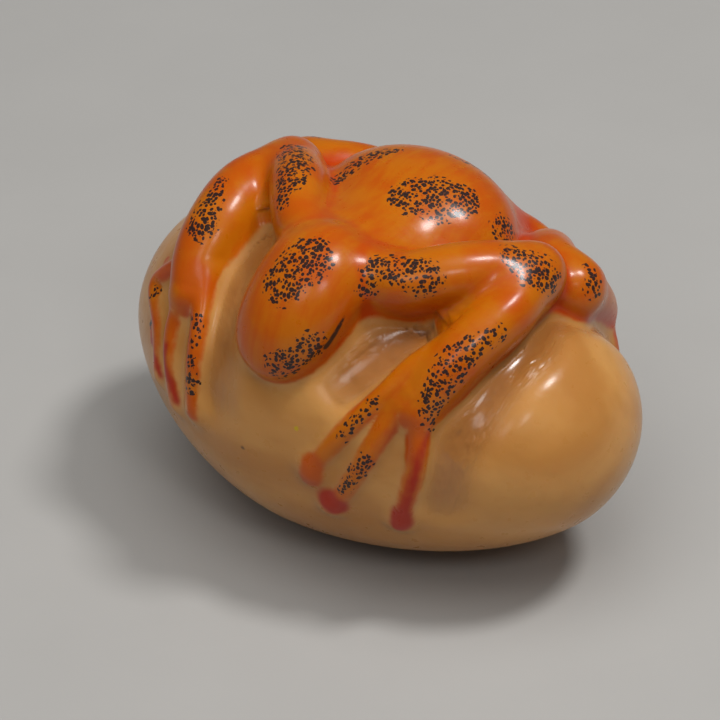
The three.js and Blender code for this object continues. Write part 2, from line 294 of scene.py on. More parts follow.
CENTRE = np.array([BELLY_OFFSET, 0.0, NUT_HEIGHT / 2 - REST_DEPTH])
EGG_END = NUT_LENGTH / 2 + TIP_ROUNDING / 4
RIGHT_HALF = EGG_END - BELLY_OFFSET
LEFT_HALF = EGG_END + BELLY_OFFSET


def soft_min(a, b, width):
    h = np.maximum(width - np.abs(a - b), 0) / width
    return np.minimum(a, b) - h * h * width / 4


def soft_max(a, b, width):
    return -soft_min(-a, -b, width)


def ramp(low, high, value):
    """0 below low, 1 above high, smooth between them."""
    share = np.clip((value - low) / (high - low), 0, 1)
    return share * share * (3 - 2 * share)


def egg_value(offset):
    """1 on the skin of the uncut egg, less inside it, for an offset from the egg's centre."""
    along = np.abs(offset[..., 0] / np.where(offset[..., 0] > 0, RIGHT_HALF, LEFT_HALF))
    across = np.hypot(offset[..., 1] / (NUT_WIDTH / 2), offset[..., 2] / (NUT_HEIGHT / 2))
    return (along**RING_POWER + across**RING_POWER) ** (1 / RING_POWER)


def egg_distance(points):
    offset = points - CENTRE
    far = np.linalg.norm(offset, axis=-1)
    egg = RAY_SHARE * far * (1 - 1 / np.maximum(egg_value(offset), TINY))
    return soft_max(egg, np.abs(points[..., 0]) - EGG_END, TIP_ROUNDING)


def on_nut(across, turn, lift):
    """A place on the uncut egg, or lifted off it."""
    x = across - CENTRE[0]
    half = RIGHT_HALF if x > 0 else LEFT_HALF
    ring = max(1 - abs(x / half) ** RING_POWER, TINY) ** (1 / RING_POWER)
    dy = -math.sin(math.radians(turn))
    dz = math.cos(math.radians(turn))
    reach = ring / math.hypot(dy / (NUT_WIDTH / 2), dz / (NUT_HEIGHT / 2))
    offset = np.array([x, dy * reach, dz * reach])
    steps = np.eye(3) * PROBE
    normal = egg_value(offset + steps) - egg_value(offset - steps)
    return CENTRE + offset + normal / np.linalg.norm(normal) * lift


class Rods:
    """A smooth line through places, each with a radius: the middle line of something long and round."""

    def __init__(self, places, radii):
        self.places = np.array(places)
        self.radii = np.array(radii)
        room = CLEAR + self.radii.max()
        self.low = self.places.min(0) - room
        self.high = self.places.max(0) + room
        steps = np.diff(self.places, axis=0)
        spans = np.linalg.norm(steps, axis=1)
        ways = steps / spans[:, None]
        leads = np.vstack([ways[:1], ways[:-1] + ways[1:], ways[-1:]])
        self.leads = leads / np.linalg.norm(leads, axis=1)[:, None]
        self.lengths = np.concatenate([[0.0], np.cumsum(spans)])
        self.steepest = np.abs(np.diff(self.radii) / spans).max()

    def distance(self, points):
        return self.nearest(points)[0]

    def nearest(self, points):
        """The distance to the form, how far along its line that is, and which way the line turns aside."""
        distance = np.full(len(points), CLEAR)
        along = np.zeros(len(points))
        offsets = np.zeros((len(points), 3))
        ways = np.zeros((len(points), 3))
        box = np.flatnonzero(((points > self.low) & (points < self.high)).all(1))
        last = len(self.places) - 2
        for i in range(last + 1):
            one, other = self.places[i : i + 2]
            leave, arrive = self.leads[i : i + 2]
            length = self.lengths[i + 1] - self.lengths[i]
            offset = points[box] - one
            reach = length + self.radii[i : i + 2].max() + CLEAR
            near = np.flatnonzero((offset * offset).sum(1) < reach * reach)
            offset = offset[near]
            here = box[near]
            past = offset @ leave
            ahead = (other - one) @ arrive - offset @ arrive
            share = np.clip(past / np.maximum(past + ahead, TINY), 0, 1)[:, None]
            sharp = 2 * (one - other) + length * (leave + arrive)
            round_off = 3 * (other - one) - length * (2 * leave + arrive)
            offset = offset - share * (length * leave + share * (round_off + share * sharp))
            share = share[:, 0]
            radius = self.radii[i] + (self.radii[i + 1] - self.radii[i]) * share
            gap = np.sqrt((offset * offset).sum(1)) - radius
            # a thicker neighbour does not reach into this stretch, so there are no rings where it thins
            if i > 0:
                gap += self.steepest * np.maximum(-past, 0)
            if i < last:
                gap += self.steepest * np.maximum(-ahead, 0)
            closer = gap < distance[here]
            here = here[closer]
            distance[here] = gap[closer]
            along[here] = self.lengths[i] + length * share[closer]
            offsets[here] = offset[closer]
            ways[here] = leave
        return distance, along, np.cross(offsets, ways)


def limb(stops, thickness):
    """The form along a smooth line through a limb's stops."""
    line = np.array(stops, float) * (FROG_REACH, 1, thickness, thickness)
    line = np.vstack([2 * line[0] - line[1], line, 2 * line[-1] - line[-2]])
    places = []
    radii = []
    spans = len(stops) - 1
    for i in range(spans * RODS_PER_STOP + 1):
        span = min(i // RODS_PER_STOP, spans - 1)
        across, turn, lift, radius = between(*line[span : span + 4], i / RODS_PER_STOP - span)
        places.append(on_nut(across, turn, lift))
        radii.append(radius)
    return Rods(places, radii)


def between(before, one, other, after, share):
    """A place on the smooth line from one to other."""
    leave = (other - before) / 2
    arrive = (after - one) / 2
    square = share * share
    cube = square * share
    held = (2 * cube - 3 * square + 1) * one + (3 * square - 2 * cube) * other
    return held + (cube - 2 * square + share) * leave + (cube - square) * arrive


def lump(points, size):
    """The distance to an egg-shaped lump along the frog's middle line, nodded forward."""
    half = np.array([size["width"], size["length"], size["height"]]) / 2
    offset = points - on_nut(size["across"], size["turn"], size["lift"])
    cos = math.cos(math.radians(size["nod"]))
    sin = math.sin(math.radians(size["nod"]))
    length = offset[:, 1] * cos + offset[:, 2] * sin
    height = offset[:, 2] * cos - offset[:, 1] * sin
    local = np.stack([offset[:, 0], length, height], 1)
    k0 = np.linalg.norm(local / half, axis=1)
    k1 = np.linalg.norm(local / half**2, axis=1)
    return k0 * (k0 - 1) / np.maximum(k1, TINY)


def mirrored(stops):
    return [(-across, turn, lift / 2, radius) for across, turn, lift, radius in stops]


def seat_of(stops):
    """The narrower run of the same limb that seats it in the nut."""
    return [(across, turn, min(lift, 0), radius * SEAT_SHARE) for across, turn, lift, radius in stops]


class Limb:
    """An arm or a leg with its fingers and their pads."""

    def __init__(self, upper, fore, fingers):
        self.upper = limb(upper, LIMB_THICKNESS)
        self.fore = limb(fore, LIMB_THICKNESS)
        self.seats = [limb(seat_of(stops), LIMB_THICKNESS) for stops in (upper, fore)]
        self.fingers = [limb(stops, FINGER_THICKNESS) for stops in fingers]
        self.pads = [on_nut(stops[-1][0] * FROG_REACH, stops[-1][1], -PAD_SUNK) for stops in fingers]

    def arm(self, points):
        form = soft_min(self.upper.distance(points), self.fore.distance(points), BLEND["knee"])
        for seat in self.seats:
            form = soft_min(form, seat.distance(points), BLEND["seat"])
        return form

    def distance(self, points):
        form = self.arm(points)
        for finger in self.fingers:
            form = soft_min(form, finger.distance(points), BLEND["toe"])
        for pad in self.pads:
            ball = np.linalg.norm(points - pad, axis=1) - PAD_WIDTH / 2
            form = soft_min(form, ball, BLEND["toe"])
        return form


RIGHT_LEG = {
    "upper": mirrored(LEFT_LEG["upper"]),
    "fore": mirrored(LEFT_LEG["fore"]),
    "fingers": [mirrored(stops) for stops in LEFT_LEG["fingers"]],
}
LIMBS = [Limb(**stops) for stops in (LEFT_ARM, RIGHT_ARM, LEFT_LEG, RIGHT_LEG)]
HOLLOW_RODS = [limb(stops, HOLLOW_WIDTH) for stops in HOLLOWS]


def nut_form(points):
    form = egg_distance(points)
    for hollow in HOLLOW_RODS:
        form = soft_max(form, -hollow.distance(points), BLEND["hollow"])
    return form


def head_form(points):
    return soft_min(lump(points, HEAD_LUMPS[0]), lump(points, HEAD_LUMPS[1]), BLEND["face"])


def back_form(points):
    form = lump(points, BACK_LUMPS[0])
    for size in BACK_LUMPS[1:]:
        form = soft_min(form, lump(points, size), BLEND["back"])
    return form


def torso_form(points):
    return soft_min(back_form(points), head_form(points), BLEND["nape"])


def frog_form(points):
    form = torso_form(points)
    for each in LIMBS:
        form = soft_min(form, each.distance(points), BLEND["armpit"])
    return form


def carving(points):
    form = soft_min(nut_form(points), frog_form(points), BLEND["skin"])
    return np.maximum(form, -points[:, 2])


def outward(points, distance):
    """The way out of the carving at each point."""
    steps = np.eye(3) * PROBE
    slope = np.stack([carving(points + step) - distance for step in steps], 1)
    return slope / np.maximum(np.linalg.norm(slope, axis=1), TINY)[:, None]


# The skin


def fine_skin(node, cuts):
    """A copy of the node's mesh with its corners merged and its faces divided. Returns a mesh."""
    work = bmesh.new()
    work.from_mesh(node.data)
    bmesh.ops.remove_doubles(work, verts=work.verts, dist=WELD)
    bmesh.ops.subdivide_edges(work, edges=work.edges, cuts=cuts, use_grid_fill=True)
    bmesh.ops.triangulate(work, faces=work.faces)
    bmesh.ops.recalc_face_normals(work, faces=work.faces)
    mesh = bpy.data.meshes.new("carved_skin")
    work.to_mesh(mesh)
    work.free()
    return mesh


def corners_of(mesh):
    """The mesh's corners in millimetres."""
    flat = np.zeros(len(mesh.vertices) * 3)
    mesh.vertices.foreach_get("co", flat)
    return flat.reshape(-1, 3) / MM


def edges_of(mesh):
    flat = np.zeros(len(mesh.edges) * 2, int)
    mesh.edges.foreach_get("vertices", flat)
    return flat.reshape(-1, 2)


def neighbour_means(points, edges):
    count = len(points)
    ends = np.concatenate([edges[:, 0], edges[:, 1]])
    others = np.concatenate([edges[:, 1], edges[:, 0]])
    number = np.bincount(ends, minlength=count)
    sums = [np.bincount(ends, weights=points[others, k], minlength=count) for k in range(3)]
    return np.stack(sums, 1) / number[:, None]


def settled(points, edges):
    """The points moved onto the carving and evened out along it."""
    for turn in range(SETTLING_ROUNDS):
        distance = carving(points)
        out = outward(points, distance)
        slide = neighbour_means(points, edges) - points
        slide -= (slide * out).sum(1)[:, None] * out
        step = np.clip(distance, -LONGEST_STEP, LONGEST_STEP)
        points = points - out * step[:, None]
        if turn < SETTLING_ROUNDS - LAST_ROUNDS:
            points = points + slide * SLIDE
    points[points[:, 2] < FLAT_SNAP, 2] = 0
    return points


# What the painter needs to know of each corner


def surface_places(stops):
    """The places where lines from outside towards the nut's middle line meet the carving."""
    starts = np.array([on_nut(across, turn, 0) for across, turn, _ in stops])
    axis = np.stack([starts[:, 0], np.full(len(stops), CENTRE[1]), np.full(len(stops), CENTRE[2])], 1)
    way = starts - axis
    way /= np.linalg.norm(way, axis=1)[:, None]
    reach = np.full(len(stops), NUT_WIDTH)
    for _ in range(MARCH_STEPS):
        reach -= carving(axis + way * reach[:, None]) * CAUTION
    return axis + way * reach[:, None]


def area_depths(points, tables):
    """How far inside the nearest of its painted areas each point is, in millimetres, for each table."""
    every = [stop for areas in tables.values() for stops in areas.values() for stop in stops]
    places = iter(surface_places(every))
    depths = {}
    for name, areas in tables.items():
        nearest = np.full(len(points), CLEAR)
        for stops in areas.values():
            rods = Rods([next(places) for _ in stops], [radius for _, _, radius in stops])
            nearest = np.minimum(nearest, rods.distance(points))
        depths[name] = -nearest
    return depths


def field_share(name, value):
    """How far the value is through the field's ramp."""
    return ramp(*FIELD_RAMPS[name], value)


def stroke_charts(points, normals, torso, frog):
    """Each point's place along and across the nearest limb or hollow, and how far off the next one is."""
    strokes = np.stack([points[:, 1], points[:, 0], np.zeros(len(points))], 1)
    doubt = np.full(len(points), CLEAR)
    for i, hollow in enumerate(HOLLOW_RODS):
        distance, along, aside = hollow.nearest(points)
        mine = (distance < HOLLOW_CHART) & (frog > CHART_RIM)
        seed = np.full(len(points), HOLLOW_SEED * (i + 1))
        strokes[mine] = np.stack([along, (aside * normals).sum(1), seed], 1)[mine]
        doubt = np.minimum(doubt, np.abs(distance - HOLLOW_CHART))
    doubt = np.minimum(doubt, np.where(frog > FROG_CHART, frog - FROG_CHART, CLEAR))
    nearest = torso
    for i, each in enumerate(LIMBS):
        for k, rods in enumerate([each.upper, each.fore, *each.fingers]):
            distance, along, aside = rods.nearest(points)
            mine = (distance < nearest) & (frog < FROG_CHART)
            seed = np.full(len(points), ARM_SEED + ARM_SEED_STEP * i + PART_SEED_STEP * k)
            doubt = np.where(frog < FROG_CHART, np.minimum(doubt, np.abs(distance - nearest)), doubt)
            strokes[mine] = np.stack([along, (aside * normals).sum(1), seed], 1)[mine]
            nearest = np.minimum(nearest, distance)
    return strokes, doubt


def paint_fields(points, normals):
    """The values over the skin that the stain, the pen and the varnish follow, by name."""
    egg = egg_distance(points)
    nut = nut_form(points)
    torso = torso_form(points)
    limbs = [each.distance(points) for each in LIMBS]
    frog = frog_form(points)
    strokes, doubt = stroke_charts(points, normals, torso, frog)
    bare = torso
    for each in LIMBS:
        bare = soft_min(bare, each.arm(points), BLEND["armpit"])
    fingers = np.minimum.reduce([rods.distance(points) for each in LIMBS for rods in each.fingers])
    depths = area_depths(points, AREAS)
    brushed = depths.pop("brushed")
    inner = np.sort(np.stack([back_form(points), head_form(points), *limbs], 1), axis=1)
    legs = np.minimum(limbs[2], limbs[3])
    others = np.minimum(torso, np.minimum(limbs[0], limbs[1]))
    rim = np.exp(-(((nut - RIM_HEIGHT) / RIM_WIDTH) ** 2))
    return {
        "stain": np.maximum(STAIN_REACH - bare, np.maximum(FINGER_STAIN - fingers, brushed)),
        "edge": rim * (1 - BRUSHED_RIM * field_share("brushed", brushed)),
        "crease": 1 - field_share("crease", inner[:, 1] - inner[:, 0]),
        "legs": 1 - field_share("legs", legs - others),
        # cut: the hollows beside the frog; it places the gouge marks and the wetter varnish, and it carries
        # part of the painted shade
        "cut": field_share("hollow", nut - egg) * field_share("beside frog", frog),
        # deep: how far below the uncut egg each point lies, away from the frog, for the painted shade in
        # the hollows
        "deep": np.clip(-egg / DEEPEST_CUT, 0, 1) * field_share("off frog", frog),
        "sure": field_share("sure", doubt),
        "strokes": strokes,
        **depths,
    }


def store_fields(mesh, fields):
    for name, values in fields.items():
        kind = "FLOAT_VECTOR" if values.ndim == 2 else "FLOAT"
        layer = mesh.attributes.new(name, kind, "POINT")
        key = "vector" if values.ndim == 2 else "value"
        layer.data.foreach_set(key, values.astype(np.float32).ravel())


# Small helpers for node trees


class Tree:
    """Adds nodes to a tree and links them."""

    def __init__(self, tree):
        self.tree = tree

    def add(self, kind, inputs=None, **settings):
        node = self.tree.nodes.new(kind)
        for name, value in settings.items():
            setattr(node, name, value)
        for name, value in (inputs or {}).items():
            self.feed(node.inputs[name], value)
        return node

    def feed(self, socket, value):
        if isinstance(value, bpy.types.NodeSocket):
            self.tree.links.new(value, socket)
        else:
            socket.default_value = value

    def math(self, operation, *values, clamp=False):
        node = self.add("ShaderNodeMath", operation=operation, use_clamp=clamp)
        for socket, value in zip(node.inputs, values):
            self.feed(socket, value)
        return node.outputs[0]

    def vector(self, operation, one, other=None):
        node = self.add("ShaderNodeVectorMath", {0: one}, operation=operation)
        if other is not None:
            self.feed(node.inputs[1], other)
        return node.outputs["Value" if operation == "DOT_PRODUCT" else "Vector"]

    def smooth(self, value, low, high):
        node = self.add("ShaderNodeMapRange", interpolation_type="SMOOTHSTEP")
        for name, given in (("Value", value), ("From Min", low), ("From Max", high)):
            self.feed(node.inputs[name], given)
        return node.outputs[0]

    def noise(self, vector, scale, detail=2.0, roughness=0.5, distortion=0.0):
        given = {"Vector": vector, "Scale": scale, "Detail": detail}
        given.update({"Roughness": roughness, "Distortion": distortion})
        return self.add("ShaderNodeTexNoise", given).outputs["Fac"]

    def pattern(self, name, vector):
        """One of the noises in PATTERNS over this vector."""
        stretch, *given = PATTERNS[name]
        return self.noise(self.scaled(vector, stretch) if stretch else vector, *given)

    def share(self, name, value, clamp=False):
        """The value times its share in SHARES."""
        return self.math("MULTIPLY", value, SHARES[name], clamp=clamp)

    def mix(self, share, one, other):
        node = self.add("ShaderNodeMix", data_type="RGBA")
        self.feed(node.inputs["Factor"], share)
        self.feed(node.inputs[6], one)
        self.feed(node.inputs[7], other)
        return node.outputs[2]

    def scaled(self, vector, by):
        node = self.add("ShaderNodeMapping", {"Vector": vector, "Scale": by}, vector_type="POINT")
        return node.outputs[0]

    def attribute(self, name, output="Fac"):
        return self.add("ShaderNodeAttribute", attribute_name=name).outputs[output]


def new_group(name, inputs, outputs):
    """An empty shader node group with these sockets. Returns it with its input and output nodes."""
    group = bpy.data.node_groups.new(name, "ShaderNodeTree")
    for label, kind, default in inputs:
        socket = group.interface.new_socket(label, in_out="INPUT", socket_type=kind)
        if default is not None:
            socket.default_value = default
    for label, kind in outputs:
        group.interface.new_socket(label, in_out="OUTPUT", socket_type=kind)
    work = Tree(group)
    return work, work.add("NodeGroupInput").outputs, work.add("NodeGroupOutput").inputs


# Gouge marks


def gouge_tree():
    """Geometry nodes that press the marks of a gouge into what is cut hollow, along the cut."""
    group = bpy.data.node_groups.new("Gouge marks", "GeometryNodeTree")
    inputs = [
        ("Geometry", "NodeSocketGeometry"),
        ("Depth", "NodeSocketFloat"),
        ("Marks", "NodeSocketFloat"),
        ("Stretch", "NodeSocketFloat"),
        ("Material", "NodeSocketMaterial"),
    ]
    for label, kind in inputs:
        group.interface.new_socket(label, in_out="INPUT", socket_type=kind)
    group.interface.new_socket("Geometry", in_out="OUTPUT", socket_type="NodeSocketGeometry")
    work = Tree(group)
    given = work.add("NodeGroupInput").outputs
    strokes = work.add("GeometryNodeInputNamedAttribute", {"Name": "strokes"}, data_type="FLOAT_VECTOR")
    cut = work.add("GeometryNodeInputNamedAttribute", {"Name": "cut"}, data_type="FLOAT")
    sure = work.add("GeometryNodeInputNamedAttribute", {"Name": "sure"}, data_type="FLOAT")
    apart = work.add("ShaderNodeSeparateXYZ", {"Vector": strokes.outputs[0]})
    along = work.math("MULTIPLY", apart.outputs[0], given["Stretch"])
    lined = work.add("ShaderNodeCombineXYZ", {"X": along, "Y": apart.outputs[1], "Z": apart.outputs[2]})
    marks = work.noise(lined.outputs[0], given["Marks"], detail=1.0)
    height = work.math("SUBTRACT", marks, 0.5)
    share = work.math("MULTIPLY", cut.outputs[0], sure.outputs[0])
    lift = work.math("MULTIPLY", work.math("MULTIPLY", height, share), given["Depth"])
    normal = work.add("GeometryNodeInputNormal").outputs[0]
    offset = work.add("ShaderNodeVectorMath", {0: normal}, operation="SCALE")
    work.feed(offset.inputs["Scale"], lift)
    inputs = {"Geometry": given["Geometry"], "Offset": offset.outputs[0]}
    moved = work.add("GeometryNodeSetPosition", inputs)
    real = work.add("GeometryNodeRealizeInstances", {"Geometry": moved.outputs[0]})
    dressed = work.add("GeometryNodeSetMaterial", {"Geometry": real.outputs[0]})
    work.feed(dressed.inputs["Material"], given["Material"])
    ending = work.add("NodeGroupOutput")
    work.feed(ending.inputs[0], dressed.outputs[0])
    return group


def with_modifier(piece, group, values):
    """Runs a geometry tree on the piece with these inputs and keeps the result as its plain mesh."""
    modifier = piece.modifiers.new(group.name, "NODES")
    modifier.node_group = group
    for item in group.interface.items_tree:
        if item.in_out == "INPUT" and item.name in values:
            modifier[item.identifier] = values[item.name]
    bpy.context.view_layer.update()
    graph = bpy.context.evaluated_depsgraph_get()
    done = piece.evaluated_get(graph)
    mesh = bpy.data.meshes.new_from_object(done, preserve_all_data_layers=True, depsgraph=graph)
    piece.modifiers.remove(modifier)
    piece.data = mesh


# Finishes

# Noises: their stretch, scale to a millimetre, detail, roughness and distortion
PATTERNS = {
    "waves": ((0.6, 1, 1.3), 0.09, 3.0, 0.5, 0.6),
    "fibres": ((0.25, 1, 1), 0.9, 4.0, 0.6),
    "clouds": (None, 0.22, 3.0),
    "brushed": ((0.28, 1.3, 1), 0.8, 4.0, 0.6),
    "fine": ((0.2, 1.6, 1), 2.4, 3.0, 0.6),
    "broad": (None, 0.35),
    "ripple": (None, 1.6),
    "dust": (None, 5.0, 3.0, 0.6),
    "gouge": ((0.28, 1.4, 1), 1.1),
    "wander": (None, 0.9),
    "sheen": (None, 0.8, 3.0),
    "grain": (None, 60.0, 4.0),
}

# Where each pattern begins and is full
EDGES = {
    "waves": (0.36, 0.68),
    "fibres": (0.5, 0.8),
    "warm": (0.4, 0.62),
    "streaks": (0.5, 0.72),
    "red": (0.25, 0.85),
    "dot": (-0.03, 0.08),
    "dotted": (0.0, 0.05),
}

# How much each part counts for. Of the skin's height, in millimetres: broad, ripple, dust and gouge.
SHARES = {
    "fibres": 0.3,
    # deep and cut: how strongly the painted shade darkens the hollows
    "deep": 1.6,
    "cut": 0.25,
    "clouds": 0.55,
    "brushed": 0.45,
    "streaks": 0.35,
    "red": 0.9,
    "dot size": 0.7,
    "ragged": 0.8,
    "broad": 0.1,
    "ripple": 0.012,
    "dust": 0.004,
    "gouge": 0.5,
    "edge redness": 0.4,
    "crease redness": 0.4,
    "legs redness": 0.22,
    "ink": 0.96,
    "sheen": 0.16,
    "wet cut": 0.14,
    "varnished cut": 0.6,
    "grain": 0.1,
}
LEAST_RED = 0.12
RED_START = 0.45
SMALLEST_DOT = 0.6
DASH_LENGTH = 0.62
SCATTER = 0.9
SMOOTHEST = 0.22
FLOOR_ROUGHNESS = 0.75
FLOOR_DARK = 0.93
FLOOR_BUMP = 0.15

# The varnished nut's plain shader values
REFRACTION = 1.5
GLOW_COLORS = (1.0, 0.4, 0.15)
GLOW_DEPTH = 1.6
SPECULAR = 0.2
COAT_ROUGHNESS = 0.16

# Painted areas: over how many millimetres their edge fades and how many it wanders
PAINT_EDGES = {
    "stain": (0.16, 0.3),
    "orange": (0.35, 0.5),
    "red": (0.4, 0.5),
    "yellow": (0.08, 0.1),
    "ink": (0.12, 0.3),
}


def ivory_and_shade_group():
    """The nut's colour, cream with darker brown waves, and painted shade: browner and wetter where it is
    cut deep.
    """
    inputs = [
        ("Place", "NodeSocketVector", None),
        ("Cream", "NodeSocketColor", None),
        ("Tan", "NodeSocketColor", None),
        ("Hollow shade", "NodeSocketColor", None),
        ("Cut", "NodeSocketFloat", 0.0),
        ("Deep", "NodeSocketFloat", 0.0),
    ]
    work, given, out = new_group("Nut ivory", inputs, [("Color", "NodeSocketColor")])
    waves = work.pattern("waves", given["Place"])
    base = work.mix(work.smooth(waves, *EDGES["waves"]), given["Cream"], given["Tan"])
    fibres = work.smooth(work.pattern("fibres", given["Place"]), *EDGES["fibres"])
    base = work.mix(work.share("fibres", fibres), base, given["Tan"])
    # painted shade: the hollows are mixed towards a darker brown, more where they are cut deeper
    depth = work.share("deep", given["Deep"])
    depth = work.math("ADD", depth, work.share("cut", given["Cut"]), clamp=True)
    work.feed(out["Color"], work.mix(depth, base, given["Hollow shade"]))
    return work.tree


def stain_group():
    """The watery orange stain: amber, with orange and red brushed along each limb."""
    inputs = [
        ("Strokes", "NodeSocketVector", None),
        ("Place", "NodeSocketVector", None),
        ("Amber", "NodeSocketColor", None),
        ("Orange", "NodeSocketColor", None),
        ("Red", "NodeSocketColor", None),
        ("Redness", "NodeSocketFloat", 0.0),
        ("Sure", "NodeSocketFloat", 1.0),
    ]
    work, given, out = new_group("Orange stain", inputs, [("Color", "NodeSocketColor")])
    clouds = work.pattern("clouds", given["Place"])
    brushed = work.mix(given["Sure"], clouds, work.pattern("brushed", given["Strokes"]))
    warm = work.math("ADD", work.share("clouds", clouds), work.share("brushed", brushed))
    base = work.mix(work.smooth(warm, *EDGES["warm"]), given["Amber"], given["Orange"])
    fine = work.pattern("fine", given["Strokes"])
    streaks = work.share("streaks", work.smooth(fine, *EDGES["streaks"]))
    red = work.math("MULTIPLY", given["Redness"], work.math("ADD", brushed, RED_START))
    streaks = work.math("MULTIPLY", streaks, given["Redness"])
    red = work.math("ADD", work.smooth(red, *EDGES["red"]), streaks)
    work.feed(out["Color"], work.mix(work.share("red", red, clamp=True), base, given["Red"]))
    return work.tree


def dots_group():
    """The mask of pen dots: short dashes of a fine pen, each its own way round, crowded into an area."""
    inputs = [
        ("Place", "NodeSocketVector", None),
        ("Area", "NodeSocketFloat", 0.0),
        ("Spacing", "NodeSocketFloat", 0.5),
        ("Size", "NodeSocketFloat", 0.2),
        ("Length", "NodeSocketFloat", 0.6),
    ]
    work, given, out = new_group("Pen dots", inputs, [("Mask", "NodeSocketFloat")])
    near = work.add("ShaderNodeVectorMath", {0: given["Place"]}, operation="SCALE")
    work.feed(near.inputs["Scale"], work.math("DIVIDE", 1.0, given["Spacing"]))
    near = near.outputs[0]
    cells = work.add("ShaderNodeTexVoronoi", {"Vector": near, "Scale": 1.0, "Randomness": SCATTER})
    offset = work.vector("SUBTRACT", near, cells.outputs["Position"])
    way = work.vector("NORMALIZE", work.vector("SUBTRACT", cells.outputs["Color"], (0.5, 0.5, 0.5)))
    along = work.vector("DOT_PRODUCT", offset, way)
    round_part = work.vector("DOT_PRODUCT", offset, offset)
    long_part = work.math("MULTIPLY", work.math("MULTIPLY", along, along), given["Length"])
    away = work.math("SQRT", work.math("SUBTRACT", round_part, long_part))
    draw = work.add("ShaderNodeSeparateColor", {"Color": cells.outputs["Color"]})
    radius = work.math("DIVIDE", given["Size"], given["Spacing"])
    size = work.math("ADD", work.share("dot size", draw.outputs[0]), SMALLEST_DOT)
    radius = work.math("MULTIPLY", radius, size)
    dots = work.smooth(work.math("SUBTRACT", radius, away), *EDGES["dot"])
    ragged = work.share("ragged", work.math("SUBTRACT", draw.outputs[1], 0.5))
    area = work.smooth(work.math("ADD", given["Area"], ragged), *EDGES["dotted"])
    work.feed(out["Mask"], work.math("MULTIPLY", dots, area))
    return work.tree


def surface_group():
    """The height of the varnished skin: broad scraper facets, brush ripples, fine dust and gouge marks."""
    inputs = [
        ("Place", "NodeSocketVector", None),
        ("Strokes", "NodeSocketVector", None),
        ("Cut", "NodeSocketFloat", 0.0),
        ("Sure", "NodeSocketFloat", 1.0),
    ]
    work, given, out = new_group("Varnished skin", inputs, [("Height", "NodeSocketFloat")])
    height = work.share("broad", work.pattern("broad", given["Place"]))
    for name in ("ripple", "dust"):
        height = work.math("ADD", height, work.share(name, work.pattern(name, given["Place"])))
    marked = work.share("gouge", work.math("MULTIPLY", given["Cut"], given["Sure"]))
    gouge = work.pattern("gouge", given["Strokes"])
    height = work.math("ADD", height, work.math("MULTIPLY", gouge, marked))
    work.feed(out["Height"], height)
    return work.tree


def use_group(work, group, inputs):
    node = work.add("ShaderNodeGroup", node_tree=group)
    for name, value in inputs.items():
        work.feed(node.inputs[name], value)
    return node.outputs[0]


def new_material(name):
    material = bpy.data.materials.new(name)
    material.use_nodes = True
    work = Tree(material.node_tree)
    return material, work, material.node_tree.nodes["Principled BSDF"].inputs


def painted_area(work, place, name):
    """The mask of a painted area: 1 well inside its attribute, fading and wandering along its edge."""
    soft, wander = PAINT_EDGES[name]
    edge = work.math("SUBTRACT", work.pattern("wander", place), 0.5)
    edge = work.math("MULTIPLY", edge, wander)
    return work.smooth(work.math("ADD", work.attribute(name), edge), -soft, soft)


def nut_material(paint):
    material, work, shader = new_material("stained_and_varnished_nut")
    place = work.scaled(work.add("ShaderNodeTexCoord").outputs["Object"], (1 / MM, 1 / MM, 1 / MM))
    strokes = work.attribute("strokes", "Vector")
    cut = work.attribute("cut")
    sure = work.attribute("sure")
    # the nut's own colour, with painted shade in its hollows
    ivory_and_shade = use_group(
        work,
        ivory_and_shade_group(),
        {
            "Place": place,
            "Cream": (*paint.cream, 1),
            "Tan": (*paint.tan, 1),
            "Hollow shade": (*paint.hollow_shade, 1),
            "Cut": cut,
            "Deep": work.attribute("deep"),
        },
    )
    redness = LEAST_RED
    for name in ("edge", "crease", "legs"):
        redness = work.math("ADD", work.share(name + " redness", work.attribute(name)), redness)
    stain = use_group(
        work,
        stain_group(),
        {
            "Strokes": strokes,
            "Place": place,
            "Amber": (*paint.amber, 1),
            "Orange": (*paint.orange, 1),
            "Red": (*paint.red, 1),
            "Redness": redness,
            "Sure": sure,
        },
    )
    color = work.mix(painted_area(work, place, "stain"), ivory_and_shade, stain)
    for name, tone in (("orange", paint.orange), ("red", paint.toe_red), ("yellow", paint.yellow)):
        color = work.mix(painted_area(work, place, name), color, (*tone, 1))
    dots = use_group(
        work,
        dots_group(),
        {
            "Place": place,
            "Area": work.attribute("pen"),
            "Spacing": paint.dot_spacing,
            "Size": paint.dot_size,
            "Length": DASH_LENGTH,
        },
    )
    ink = work.math("MAXIMUM", dots, painted_area(work, place, "ink"))
    color = work.mix(work.share("ink", ink), color, (*paint.ink, 1))
    work.feed(shader["Base Color"], color)
    rough = work.math("ADD", work.share("sheen", work.pattern("sheen", place)), SMOOTHEST)
    rough = work.math("SUBTRACT", rough, work.share("wet cut", cut))
    work.feed(shader["Roughness"], rough)
    height = use_group(
        work, surface_group(), {"Place": place, "Strokes": strokes, "Cut": cut, "Sure": sure}
    )
    bump = work.add("ShaderNodeBump", {"Height": height, "Strength": 1.0, "Distance": MM})
    work.feed(shader["Normal"], bump.outputs[0])
    shader["IOR"].default_value = REFRACTION
    shader["Subsurface Weight"].default_value = paint.glow
    shader["Subsurface Radius"].default_value = GLOW_COLORS
    shader["Subsurface Scale"].default_value = GLOW_DEPTH * MM
    work.feed(shader["Coat Weight"], work.math("ADD", work.share("varnished cut", cut), paint.varnish))
    shader["Specular IOR Level"].default_value = SPECULAR
    shader["Coat Roughness"].default_value = COAT_ROUGHNESS
    shader["Coat IOR"].default_value = REFRACTION
    return material


